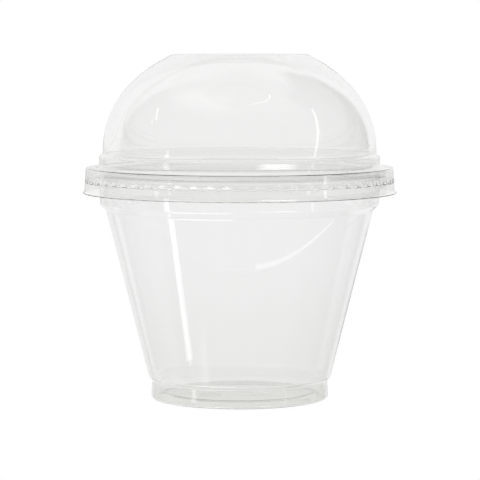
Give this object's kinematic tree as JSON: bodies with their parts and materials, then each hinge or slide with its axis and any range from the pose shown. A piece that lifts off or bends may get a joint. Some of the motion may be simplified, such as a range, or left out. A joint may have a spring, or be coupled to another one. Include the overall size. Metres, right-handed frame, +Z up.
{
  "type": "clear plastic dessert cup with dome lid",
  "caption": "Squat clear cup with a rolled rim and a raised floor, closed by a clear dome lid whose dimpled skirt snaps over the rim.",
  "frame": {"origin": "centre of the circle that the cup stands on", "axes": "+Z up along the axis of the cup and lid, -Y towards the front"},
  "size_m": [0.1016, 0.1016, 0.1115],
  "materials": {
    "clear_cup": "gloss",
    "clear_lid": "gloss"
  },
  "bodies": {
    "cup": {"cup": "clear_cup"},
    "lid": {"lid": "clear_lid"}
  },
  "joints": [
    {"name": "lid_lift", "type": "slide", "parent": "cup", "child": "lid", "axis": [0, 0, 1], "range_m": [0, 0.045]}
  ]
}
